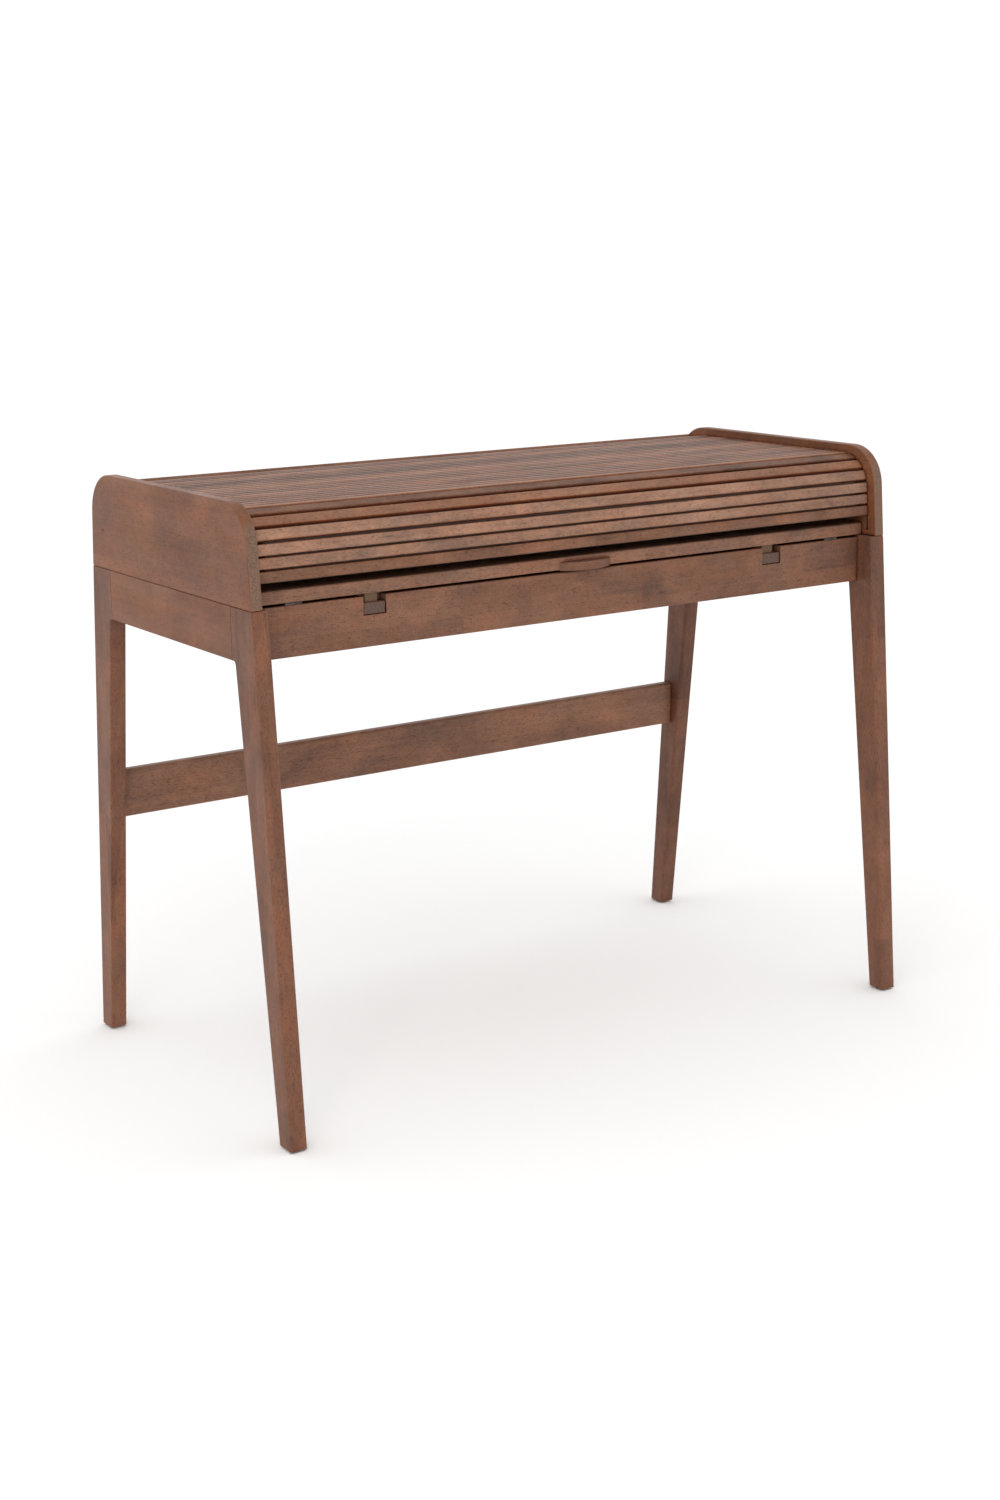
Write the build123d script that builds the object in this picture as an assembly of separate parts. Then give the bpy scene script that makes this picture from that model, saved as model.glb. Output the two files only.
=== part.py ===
from build123d import *
import math
import os

# Roll top desk: four splayed legs and their aprons carry a shallow case with rounded side
# panels. A tambour of narrow slats runs in grooves in the panels, and a writing board slides
# out over the front rail. X is the width, Y runs from the front (-Y) to the back (+Y), Z is up.
# All sizes are millimetres. The origin is on the floor, under the middle of the desk.

# ---------------------------------------------------------------- driving dimensions
WIDTH = 1100.0            # over the outer faces of the legs and side panels
HEIGHT = 860.0            # top of the side panels
FOOT_SPAN = 600.0         # front of the front feet to the back of the back feet
CASE_DEPTH = 486.8        # front to back where the side panels sit on the legs
JOINT_Z = 724.0           # top of legs and side aprons, underside of the side panels

LEG_THICK = 26.0
FOOT_DEPTH = 32.0         # leg size along Y at the floor
LEG_INNER_TOP_Y = 193.0   # inner edge of the taper at the height of the apron's underside
EAR_Y = 186.0             # joint between leg and side apron
LEG_BIG_ROUND = 5.0       # rounding of the long edges that face inwards
LEG_CROOK_ROUND = 6.0     # where the taper meets the underside of the wide top
EDGE_ROUND = 1.8          # general eased edge
SEAM_CHAMFER = 1.2        # along the seam between side panel and legs
JOINT_GAP = 0.8           # open line along the seam between leg and side apron
JOINT_GAP_DEPTH = 1.6
GLIDE_HEIGHT = 3.0
GLIDE_RADIUS = 10.0
GLIDE_ROUND = 0.8
POCKET_Y = (214.0, 235.5)   # pocket in the back legs' tops for the open curtain's end
POCKET_BOTTOM_Z = 699.0

APRON_BOTTOM_Z = 652.0
APRON_THICK = 20.0
PANEL_THICK = 17.0
PANEL_CORNER = 60.0

RAIL_FACE_Y = 213.0       # distance of the front rail's and board's front from the middle
RAIL_THICK = 18.0
RAIL_TOP_Z = 721.0
BACK_RAIL_FRONT_Y = 226.5
BACK_RAIL_TOP_Z = 698.0
BOTTOM_PLY = 6.0
BOTTOM_PLY_INSET = 4.0    # above the rails' undersides
BOTTOM_TONGUE = 4.0       # depth of the grooves that hold the bottom panel
STRETCHER_FRONT_Y = 245.0
STRETCHER_BOTTOM_Z = 340.0
STRETCHER_TOP_Z = 412.0
STRETCHER_ROUND = 5.0

BOARD_THICK = 17.8
BOARD_BOTTOM_Z = 724.5
BOARD_BACK_Y = 140.0
BOARD_SIDE_GAP = 1.5
BOARD_TRAVEL = 220.0
BOARD_TOP_ROUND = 2.2
BOARD_LOW_ROUND = 1.2

HANDLE_HALF_LENGTH = 45.0
HANDLE_BOW = 16.0
HANDLE_DROP = 1.5         # below the board's underside
HANDLE_HEIGHT = 12.5
HANDLE_ROUND = 2.0
HANDLE_DOWEL_X = 22.0
HANDLE_DOWEL_Z = 729.5
HANDLE_DOWEL_LENGTH = 24.0
HANDLE_DOWEL_DEPTH = 6.0  # part of its length that is in the handle

PLATE_X = (457.0, 483.0)  # metal glide plates on the front rail
PLATE_THICK = 2.6
PLATE_INSET = 2.0         # from the rail's faces, and the corner radius

STOP_X = (285.0, 312.0)
STOP_LENGTH = 20.0
STOP_HEIGHT = 24.0
STOP_GAP = 0.5            # left between stop and rail at full travel

RUNNER_X = 348.5          # centre of each runner, notch and guide
NOTCH_WIDTH = 35.6
NOTCH_BOTTOM_Z = 695.0
FOOT_WIDTH = 34.4         # wide lower strip of the runner
FOOT_TOP_Z = 711.5
FOOT_SET_BACK = 1.5       # behind the board's front
FOOT_CHAMFER = 0.8
WEB_WIDTH = 19.0          # narrow upper strip of the runner
WEB_SET_BACK = 10.0
RUN_GAP = 0.6             # running clearance in the guides
SOLE_GAP = 0.5            # under the runner
GUIDE_HALF_WIDTH = 28.0
GUIDE_BACK_Y = 175.0      # back end of the channel
GUIDE_SOLE = 11.0
GUIDE_TOP_GAP = 2.5       # below the board

SLAT_PITCH = 17.5
SLAT_THICK = 8.0          # canvas included
SLAT_GAP = 1.4            # between neighbouring slats at the canvas
SLAT_FACE_GAP = 3.2       # the same at the face; the slats' sides slope
SLAT_ROUND = 2.0
CANVAS_THICK = 0.8
CANVAS_END_GAP = 0.6      # between the ends of neighbouring canvas strips
CANVAS_SIDE_GAP = 20.0    # canvas edge to side panel
SLAT_TOP_Z = 848.0
CURTAIN_FRONT_Y = -177.0  # where the flat run on top begins, on the canvas side
TURN_STEPS = 4            # slat joints in each rounded corner
TONGUE_THICK = 4.0
TONGUE_LENGTH = 5.4
GROOVE_WIDTH = 5.8
GROOVE_DEPTH = 6.0
GROOVE_BOTTOM_Z = 732.0
TOP_END_GAP = 0.6         # slat shoulder to side panel
CHAIN_END_GAP = 0.9       # same on the slats that turn the corners

FRONT_DROP_SLATS = 3      # slats that hang straight down at the front when closed
CORNER_SLATS = 3          # slats around each corner
TOP_SLATS = 12
TAIL_SLATS = 5
END_SLATS = 1

DOWEL_RADIUS = 4.0
DOWEL_IN_RAIL = 20.0
DOWEL_IN_LEG = 16.0
DOWEL_INSET = 16.0        # from the edges of the front rail and stretcher
BACK_DOWEL_INSET = 12.0   # from the edges of the back rail
SMALL_DOWEL_RADIUS = 3.0
PANEL_DOWEL_INSET = 5.6   # from the outer face
PANEL_DOWEL_Y = (-208.0, -95.0, 95.0, 208.0)
PANEL_DOWEL_HALF = 14.0   # half of its length
HOLE_CLEARANCE = 0.1

OVERCUT = 1.0             # how far cutters reach past the surface they open

# ---------------------------------------------------------------- worked-out values
SPLAY = (FOOT_SPAN - CASE_DEPTH) / 2 / JOINT_Z
SLOPE = math.degrees(math.atan(SPLAY))
HALF_WIDTH = WIDTH / 2
LEG_INNER_X = HALF_WIDTH - LEG_THICK
PANEL_INNER_X = HALF_WIDTH - PANEL_THICK
BOARD_TOP_Z = BOARD_BOTTOM_Z + BOARD_THICK

TURN = (90.0 - SLOPE) / TURN_STEPS
CURTAIN_TOP_Z = SLAT_TOP_Z - SLAT_THICK
CURTAIN_BACK_Y = CURTAIN_FRONT_Y + (TOP_SLATS + CORNER_SLATS + TAIL_SLATS) * SLAT_PITCH
VERTEX_RADIUS = SLAT_PITCH / 2 / math.sin(math.radians(TURN / 2))
FLAT_RADIUS = VERTEX_RADIUS * math.cos(math.radians(TURN / 2))
CORNER_CENTRE_Z = CURTAIN_TOP_Z - FLAT_RADIUS
FRONT_CENTRE_Y = CURTAIN_FRONT_Y + SLAT_PITCH / 2
BACK_CENTRE_Y = CURTAIN_BACK_Y - SLAT_PITCH / 2


def case_edge_y(z):
    """Distance of the sloping front and back edges of legs and panels from the middle."""
    return CASE_DEPTH / 2 + (JOINT_Z - z) * SPLAY


def extrude_x(face, x_low, x_high):
    """Turn an outline drawn in (Y, Z) into a plate between two X positions."""
    return extrude(Plane.YZ.offset(x_low) * face, amount=x_high - x_low)


def outline(points):
    return make_face(Polyline(*points, close=True))


def block(x_range, y_range, z_range):
    size = [high - low for low, high in (x_range, y_range, z_range)]
    middle = [(high + low) / 2 for low, high in (x_range, y_range, z_range)]
    return Pos(*middle) * Box(*size)


def rod(start, axis, length, radius):
    """Round pin that begins at start and runs along +X, +Y or +Z."""
    plane = Plane(origin=start, z_dir=axis)
    return extrude(plane * Circle(radius), amount=length)


def mirrored_pair(shape):
    return [shape, mirror(shape, about=Plane.YZ)]


def near(value, target, tolerance=0.01):
    return abs(value - target) < tolerance


def edges_along_x(shape, y, z):
    """Edges that run along X at the given Y and Z."""
    chosen = shape.edges().filter_by(Axis.X)
    return chosen.filter_by(lambda e: near(e.center().Y, y) and near(e.center().Z, z))


def outer_edges_at(shape, z):
    """Edges at one height along the desk's right-hand side, rounded corners included."""
    level = shape.edges().filter_by(lambda e: near(e.center().Z, z))
    return level.filter_by(lambda e: e.center().X > HALF_WIDTH - EDGE_ROUND - SEAM_CHAMFER / 2)


def save(name, solids):
    solids = solids if isinstance(solids, list) else [solids]
    shape = solids[0] if len(solids) == 1 else Compound(children=solids)
    shape.label = name
    export_step(shape, os.path.join("parts", name + ".step"))


# ---------------------------------------------------------------- dowels and their holes
def rail_dowel_places():
    """(Y, Z) of the dowels that join the front rail, back rail and stretcher to the legs."""
    front_y = -RAIL_FACE_Y + RAIL_THICK / 2
    back_y = BACK_RAIL_FRONT_Y + RAIL_THICK / 2
    low_y = STRETCHER_FRONT_Y + RAIL_THICK / 2
    front_z = (APRON_BOTTOM_Z + DOWEL_INSET, RAIL_TOP_Z - DOWEL_INSET)
    back_z = (APRON_BOTTOM_Z + BACK_DOWEL_INSET, BACK_RAIL_TOP_Z - BACK_DOWEL_INSET)
    low_z = (STRETCHER_BOTTOM_Z + DOWEL_INSET, STRETCHER_TOP_Z - DOWEL_INSET)
    return {
        "front": [(front_y, z) for z in front_z],
        "back": [(back_y, z) for z in back_z],
        "low": [(low_y, z) for z in low_z],
    }


def rail_dowels(names, radius):
    """Dowels across the right-hand joints of the named rails, half in the leg."""
    start_x = LEG_INNER_X - DOWEL_IN_RAIL
    length = DOWEL_IN_RAIL + DOWEL_IN_LEG
    places = rail_dowel_places()
    return [rod((start_x, y, z), (1, 0, 0), length, radius) for name in names for y, z in places[name]]


def panel_dowels(radius):
    """Upright dowels that hold the right-hand side panel on the legs and the apron."""
    x = HALF_WIDTH - PANEL_DOWEL_INSET
    z = JOINT_Z - PANEL_DOWEL_HALF
    return [rod((x, y, z), (0, 0, 1), 2 * PANEL_DOWEL_HALF, radius) for y in PANEL_DOWEL_Y]


def both_sides(solids):
    return [side for solid in solids for side in mirrored_pair(solid)]


HOLE_RADIUS = DOWEL_RADIUS + HOLE_CLEARANCE
SMALL_HOLE_RADIUS = SMALL_DOWEL_RADIUS + HOLE_CLEARANCE


# ---------------------------------------------------------------- legs, aprons and rails
def leg_blank():
    """Back right leg: wide ear beside the apron, then a straight taper down to the foot."""
    foot_inner = FOOT_SPAN / 2 - FOOT_DEPTH
    taper = (foot_inner - LEG_INNER_TOP_Y) / APRON_BOTTOM_Z
    low_inner = foot_inner - taper * GLIDE_HEIGHT
    face = outline([
        (EAR_Y, JOINT_Z),
        (case_edge_y(JOINT_Z), JOINT_Z),
        (case_edge_y(GLIDE_HEIGHT), GLIDE_HEIGHT),
        (low_inner, GLIDE_HEIGHT),
        (LEG_INNER_TOP_Y, APRON_BOTTOM_Z),
        (EAR_Y, APRON_BOTTOM_Z),
    ])
    crook = face.vertices().filter_by(lambda v: near(v.X, LEG_INNER_TOP_Y))
    face = fillet(crook, radius=LEG_CROOK_ROUND)
    leg = extrude_x(face, LEG_INNER_X, HALF_WIDTH)

    def long_side(edge, x):
        upright = GLIDE_HEIGHT + OVERCUT < edge.center().Z < JOINT_Z - OVERCUT
        free = edge.center().Y > EAR_Y + OVERCUT
        return near(edge.center().X, x) and upright and free

    leg = fillet(leg.edges().filter_by(lambda e: long_side(e, LEG_INNER_X)), LEG_BIG_ROUND)
    leg = fillet(leg.edges().filter_by(lambda e: long_side(e, HALF_WIDTH)), EDGE_ROUND)
    return chamfer(outer_edges_at(leg, JOINT_Z), SEAM_CHAMFER)


def make_leg(side_x, side_y):
    """side_x is +1 for the right, side_y is +1 for the back."""
    leg = leg_blank()
    if side_y < 0:
        leg = mirror(leg, about=Plane.XZ)
        holes = rail_dowels(["front"], HOLE_RADIUS)
    else:
        pocket_z = (POCKET_BOTTOM_Z, JOINT_Z + OVERCUT)
        pocket = block((LEG_INNER_X - OVERCUT, PANEL_INNER_X), POCKET_Y, pocket_z)
        holes = rail_dowels(["back", "low"], HOLE_RADIUS) + [pocket]
    for hole in holes + panel_dowels(SMALL_HOLE_RADIUS):
        leg -= hole
    return leg if side_x > 0 else mirror(leg, about=Plane.YZ)


def make_side_apron():
    apron = block((HALF_WIDTH - APRON_THICK, HALF_WIDTH), (-EAR_Y, EAR_Y), (APRON_BOTTOM_Z, JOINT_Z))
    outer = apron.edges().filter_by(lambda e: near(e.center().X, HALF_WIDTH))
    apron = chamfer(outer.filter_by(Axis.Y), SEAM_CHAMFER)
    gap_x = (HALF_WIDTH - JOINT_GAP_DEPTH, HALF_WIDTH + OVERCUT)
    gap_z = (APRON_BOTTOM_Z - OVERCUT, JOINT_Z + OVERCUT)
    gaps = [block(gap_x, (end_y, end_y + JOINT_GAP), gap_z) for end_y in (-EAR_Y, EAR_Y - JOINT_GAP)]
    for cut in gaps + panel_dowels(SMALL_HOLE_RADIUS):
        apron -= cut
    return apron


def bottom_panel_block():
    y_range = (-RAIL_FACE_Y + RAIL_THICK - BOTTOM_TONGUE, BACK_RAIL_FRONT_Y + BOTTOM_TONGUE)
    side = LEG_INNER_X - OVERCUT
    low_z = APRON_BOTTOM_Z + BOTTOM_PLY_INSET
    return block((-side, side), y_range, (low_z, low_z + BOTTOM_PLY))


def around_runner(half_width):
    return (RUNNER_X - half_width, RUNNER_X + half_width)


def make_front_rail():
    back_y = -RAIL_FACE_Y + RAIL_THICK
    rail = block((-LEG_INNER_X, LEG_INNER_X), (-RAIL_FACE_Y, back_y), (APRON_BOTTOM_Z, RAIL_TOP_Z))
    rail = fillet(edges_along_x(rail, -RAIL_FACE_Y, RAIL_TOP_Z), EDGE_ROUND)
    rail = fillet(edges_along_x(rail, -RAIL_FACE_Y, APRON_BOTTOM_Z), EDGE_ROUND)
    notch_x = around_runner(NOTCH_WIDTH / 2)
    notch_y = (-RAIL_FACE_Y - OVERCUT, back_y + OVERCUT)
    notch = block(notch_x, notch_y, (NOTCH_BOTTOM_Z, RAIL_TOP_Z + OVERCUT))
    for cut in mirrored_pair(notch) + both_sides(rail_dowels(["front"], HOLE_RADIUS)):
        rail -= cut
    return rail - bottom_panel_block()


def make_back_rail():
    y_range = (BACK_RAIL_FRONT_Y, BACK_RAIL_FRONT_Y + RAIL_THICK)
    rail = block((-LEG_INNER_X, LEG_INNER_X), y_range, (APRON_BOTTOM_Z, BACK_RAIL_TOP_Z))
    rail = fillet(edges_along_x(rail, y_range[1], APRON_BOTTOM_Z), EDGE_ROUND)
    for cut in both_sides(rail_dowels(["back"], HOLE_RADIUS)):
        rail -= cut
    return rail - bottom_panel_block()


def make_stretcher():
    back_y = STRETCHER_FRONT_Y + RAIL_THICK
    y_range = (STRETCHER_FRONT_Y, back_y)
    rail = block((-LEG_INNER_X, LEG_INNER_X), y_range, (STRETCHER_BOTTOM_Z, STRETCHER_TOP_Z))
    rail = fillet(edges_along_x(rail, STRETCHER_FRONT_Y, STRETCHER_TOP_Z), STRETCHER_ROUND)
    rail = fillet(edges_along_x(rail, back_y, STRETCHER_TOP_Z), STRETCHER_ROUND)
    rail = fillet(edges_along_x(rail, STRETCHER_FRONT_Y, STRETCHER_BOTTOM_Z), EDGE_ROUND)
    rail = fillet(edges_along_x(rail, back_y, STRETCHER_BOTTOM_Z), EDGE_ROUND)
    for cut in both_sides(rail_dowels(["low"], HOLE_RADIUS)):
        rail -= cut
    return rail


def make_foot_glides():
    y = FOOT_SPAN / 2 - FOOT_DEPTH / 2
    x = HALF_WIDTH - LEG_THICK / 2
    glides = []
    for front_back in (-y, y):
        pad = rod((x, front_back, 0), (0, 0, 1), GLIDE_HEIGHT, GLIDE_RADIUS)
        pad = fillet(pad.edges().filter_by(lambda e: near(e.center().Z, 0)), GLIDE_ROUND)
        glides += mirrored_pair(pad)
    return glides


# ---------------------------------------------------------------- side panels and the back
def track_line_y(radius, z, front=True):
    """Y of the straight run that is tangent to a circle about the corner centre."""
    cos_slope = math.cos(math.radians(SLOPE))
    sin_slope = math.sin(math.radians(SLOPE))
    reach = radius * cos_slope
    along = (CORNER_CENTRE_Z + radius * sin_slope - z) / cos_slope
    reach += along * sin_slope
    return FRONT_CENTRE_Y - reach if front else BACK_CENTRE_Y + reach


def track_face(radius, bottom_z):
    """Area inside the curtain's path: straight runs joined by arcs of the given radius."""
    top_z = CORNER_CENTRE_Z + radius
    face = outline([
        (track_line_y(radius, bottom_z), bottom_z),
        (track_line_y(radius, top_z), top_z),
        (track_line_y(radius, top_z, front=False), top_z),
        (track_line_y(radius, bottom_z, front=False), bottom_z),
    ])
    corners = face.vertices().filter_by(lambda v: near(v.Y, top_z))
    return fillet(corners, radius=radius)


def make_side_panel():
    face = outline([
        (-case_edge_y(JOINT_Z), JOINT_Z),
        (-case_edge_y(HEIGHT), HEIGHT),
        (case_edge_y(HEIGHT), HEIGHT),
        (case_edge_y(JOINT_Z), JOINT_Z),
    ])
    face = fillet(face.vertices().filter_by(lambda v: near(v.Y, HEIGHT)), radius=PANEL_CORNER)
    panel = extrude_x(face, PANEL_INNER_X, HALF_WIDTH)
    free = panel.edges().filter_by(lambda e: e.center().Z > JOINT_Z + OVERCUT)
    rims = free.filter_by(lambda e: near(e.center().X, PANEL_INNER_X) or near(e.center().X, HALF_WIDTH))
    panel = fillet(rims, EDGE_ROUND)
    panel = chamfer(outer_edges_at(panel, JOINT_Z), SEAM_CHAMFER)
    middle = FLAT_RADIUS + SLAT_THICK / 2
    band = track_face(middle + GROOVE_WIDTH / 2, GROOVE_BOTTOM_Z)
    band -= track_face(middle - GROOVE_WIDTH / 2, GROOVE_BOTTOM_Z)
    panel -= extrude_x(band, PANEL_INNER_X - OVERCUT, PANEL_INNER_X + GROOVE_DEPTH)
    for hole in panel_dowels(SMALL_HOLE_RADIUS):
        panel -= hole
    return panel


BACK_PLY = 4.0
BACK_INSET = 1.0          # behind the side panels' back edges
BACK_SIDE_GAP = 0.2
BACK_LEG_GAP = 0.5        # where the back panel is notched around the legs
CAP_CLEARANCE = 2.1       # between the cap and the slats that pass under it
CAP_INNER_RADIUS = FLAT_RADIUS + SLAT_THICK + CAP_CLEARANCE
CAP_LOW_ANGLE = SLOPE
CAP_HIGH_ANGLE = 48.0
CAP_STAVES = 3
CAP_NOSE_ROUND = 2.0


def back_outer_y(z):
    return case_edge_y(z) - BACK_INSET


def polar(radius, degrees):
    """Point at an angle above the horizontal, about the back corner's centre."""
    angle = math.radians(degrees)
    return (BACK_CENTRE_Y + radius * math.cos(angle), CORNER_CENTRE_Z + radius * math.sin(angle))


def cap_outer_radius():
    """Radius that makes the cap's back flush with the back panel."""
    slope = math.radians(SLOPE)
    foot_z = CORNER_CENTRE_Z
    flush_y = back_outer_y(foot_z)
    return (flush_y - BACK_CENTRE_Y) * math.cos(slope)


def cap_stave(low_angle, high_angle):
    """One glued stave of the cap, from its lower to its upper side."""
    inner = CAP_INNER_RADIUS
    outer = cap_outer_radius()
    middle_angle = (low_angle + high_angle) / 2
    inner_arc = ThreePointArc(polar(inner, low_angle), polar(inner, middle_angle), polar(inner, high_angle))
    outer_arc = ThreePointArc(polar(outer, high_angle), polar(outer, middle_angle), polar(outer, low_angle))
    ends = [Line(inner_arc @ 1, outer_arc @ 0), Line(outer_arc @ 1, inner_arc @ 0)]
    return extrude_x(make_face([inner_arc, ends[0], outer_arc, ends[1]]), -PANEL_INNER_X, PANEL_INNER_X)


def make_back_cap():
    """Curved rail of glued staves that closes the back corner; the curtain passes under it."""
    step = (CAP_HIGH_ANGLE - CAP_LOW_ANGLE) / CAP_STAVES
    low_angles = [CAP_LOW_ANGLE + step * index for index in range(CAP_STAVES)]
    staves = [cap_stave(angle, angle + step) for angle in low_angles]
    nose_y, nose_z = polar(cap_outer_radius(), CAP_HIGH_ANGLE)
    staves[-1] = fillet(edges_along_x(staves[-1], nose_y, nose_z), CAP_NOSE_ROUND)
    return staves


def make_back_panel():
    """Thin plywood sheet, notched around the legs, between the back rail and the cap."""
    top_y, top_z = polar(cap_outer_radius(), CAP_LOW_ANGLE)
    slope = math.radians(SLOPE)
    face = outline([
        (back_outer_y(BACK_RAIL_TOP_Z), BACK_RAIL_TOP_Z),
        (top_y, top_z),
        (top_y - BACK_PLY * math.cos(slope), top_z - BACK_PLY * math.sin(slope)),
        (back_outer_y(BACK_RAIL_TOP_Z) - BACK_PLY / math.cos(slope), BACK_RAIL_TOP_Z),
    ])
    side = PANEL_INNER_X - BACK_SIDE_GAP
    sheet = extrude_x(face, -side, side)
    notch_y = (BACK_RAIL_FRONT_Y, FOOT_SPAN / 2)
    notch_z = (BACK_RAIL_TOP_Z - OVERCUT, JOINT_Z + BACK_LEG_GAP)
    notch = block((LEG_INNER_X - BACK_LEG_GAP, HALF_WIDTH), notch_y, notch_z)
    for cut in mirrored_pair(notch):
        sheet -= cut
    return sheet


# ---------------------------------------------------------------- inside the case
ORGANIZER_FRONT_Y = -60.0
ORGANIZER_BACK_Y = 92.0
ORGANIZER_TOP_Z = 826.0
ORGANIZER_FLOOR_Z = 746.0
ORGANIZER_PLY = 6.0
ORGANIZER_ROUND = 1.5
DIVIDER_THICK = 10.0
DIVIDER_X = 178.0
DIVIDER_SET_BACK = 6.0    # behind the organizer floor's front edge
DIVIDER_FRONT_Y = ORGANIZER_FRONT_Y + DIVIDER_SET_BACK
DIVIDER_SCOOP = 45.0      # radius of the upright's front upper corner


def make_organizer_floor():
    z_range = (ORGANIZER_FLOOR_Z, ORGANIZER_FLOOR_Z + ORGANIZER_PLY)
    floor = block((-PANEL_INNER_X, PANEL_INNER_X), (ORGANIZER_FRONT_Y, ORGANIZER_BACK_Y), z_range)
    return fillet(edges_along_x(floor, ORGANIZER_FRONT_Y, z_range[1]), ORGANIZER_ROUND)


def make_organizer_back():
    y_range = (ORGANIZER_BACK_Y - ORGANIZER_PLY, ORGANIZER_BACK_Y)
    z_range = (ORGANIZER_FLOOR_Z + ORGANIZER_PLY, ORGANIZER_TOP_Z)
    return block((-PANEL_INNER_X, PANEL_INNER_X), y_range, z_range)


def make_organizer_divider(x):
    """Upright with a scooped front corner."""
    low_z = ORGANIZER_FLOOR_Z + ORGANIZER_PLY
    back_y = ORGANIZER_BACK_Y - ORGANIZER_PLY
    face = outline([
        (DIVIDER_FRONT_Y, low_z),
        (back_y, low_z),
        (back_y, ORGANIZER_TOP_Z),
        (DIVIDER_FRONT_Y, ORGANIZER_TOP_Z),
    ])
    front = face.vertices().filter_by(lambda v: near(v.X, DIVIDER_FRONT_Y))
    corner = front.filter_by(lambda v: near(v.Y, ORGANIZER_TOP_Z))
    face = fillet(corner, radius=DIVIDER_SCOOP)
    return extrude_x(face, x - DIVIDER_THICK / 2, x + DIVIDER_THICK / 2)


def make_runner_guide():
    """C-shaped channel that carries one runner; its sole reaches the back rail."""
    front_y = -RAIL_FACE_Y + RAIL_THICK
    floor_z = NOTCH_BOTTOM_Z
    top_z = BOARD_BOTTOM_Z - GUIDE_TOP_GAP
    lip_z = FOOT_TOP_Z + RUN_GAP
    outer_x = around_runner(GUIDE_HALF_WIDTH)
    cut_y = (front_y - OVERCUT, GUIDE_BACK_Y + OVERCUT)
    guide = block(outer_x, (front_y, BACK_RAIL_FRONT_Y), (floor_z - GUIDE_SOLE, floor_z))
    walls = block(outer_x, (front_y, GUIDE_BACK_Y), (floor_z, top_z))
    channel = block(around_runner(FOOT_WIDTH / 2 + RUN_GAP), cut_y, (floor_z, lip_z))
    slot = block(around_runner(WEB_WIDTH / 2 + RUN_GAP), cut_y, (lip_z - OVERCUT, top_z + OVERCUT))
    return guide + (walls - channel - slot)


def make_glide_plates():
    """Metal plates on the front rail's top edge, on which the board runs."""
    y_range = (-RAIL_FACE_Y + PLATE_INSET, -RAIL_FACE_Y + RAIL_THICK - PLATE_INSET)
    plate = block(PLATE_X, y_range, (RAIL_TOP_Z, RAIL_TOP_Z + PLATE_THICK))
    return mirrored_pair(fillet(plate.edges().filter_by(Axis.Z), PLATE_INSET))


# ---------------------------------------------------------------- writing board
def handle_dowels(radius):
    start = (HANDLE_DOWEL_X, -RAIL_FACE_Y - HANDLE_DOWEL_DEPTH, HANDLE_DOWEL_Z)
    return mirrored_pair(rod(start, (0, 1, 0), HANDLE_DOWEL_LENGTH, radius))


def make_writing_board():
    side = PANEL_INNER_X - BOARD_SIDE_GAP
    board = block((-side, side), (-RAIL_FACE_Y, BOARD_BACK_Y), (BOARD_BOTTOM_Z, BOARD_TOP_Z))
    board = fillet(edges_along_x(board, -RAIL_FACE_Y, BOARD_TOP_Z), BOARD_TOP_ROUND)
    board = fillet(edges_along_x(board, -RAIL_FACE_Y, BOARD_BOTTOM_Z), BOARD_LOW_ROUND)
    for hole in handle_dowels(SMALL_HOLE_RADIUS):
        board -= hole
    return board


def make_pull_handle():
    """Crescent pull on the lower part of the board's front edge."""
    left = (-HANDLE_HALF_LENGTH, -RAIL_FACE_Y)
    right = (HANDLE_HALF_LENGTH, -RAIL_FACE_Y)
    arc = ThreePointArc(left, (0, -RAIL_FACE_Y - HANDLE_BOW), right)
    face = make_face([arc, Line(right, left)])
    low_z = BOARD_BOTTOM_Z - HANDLE_DROP
    pull = extrude(Plane.XY.offset(low_z) * face, amount=HANDLE_HEIGHT)
    pull = fillet(pull.edges().filter_by(GeomType.CIRCLE), HANDLE_ROUND)
    for hole in handle_dowels(SMALL_HOLE_RADIUS):
        pull -= hole
    return pull


def make_runner_web():
    y_range = (-RAIL_FACE_Y + WEB_SET_BACK, BOARD_BACK_Y)
    return block(around_runner(WEB_WIDTH / 2), y_range, (FOOT_TOP_Z, BOARD_BOTTOM_Z))


def make_runner_foot():
    front_y = -RAIL_FACE_Y + FOOT_SET_BACK
    z_range = (NOTCH_BOTTOM_Z + SOLE_GAP, FOOT_TOP_Z)
    foot = block(around_runner(FOOT_WIDTH / 2), (front_y, BOARD_BACK_Y), z_range)
    return chamfer(foot.edges().filter_by(lambda e: near(e.center().Y, front_y)), FOOT_CHAMFER)


def make_stop_blocks():
    """Blocks under the board that meet the front rail when the board is fully out."""
    front_y = -RAIL_FACE_Y + RAIL_THICK + BOARD_TRAVEL + STOP_GAP
    z_range = (BOARD_BOTTOM_Z - STOP_HEIGHT, BOARD_BOTTOM_Z)
    return mirrored_pair(block(STOP_X, (front_y, front_y + STOP_LENGTH), z_range))


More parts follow.
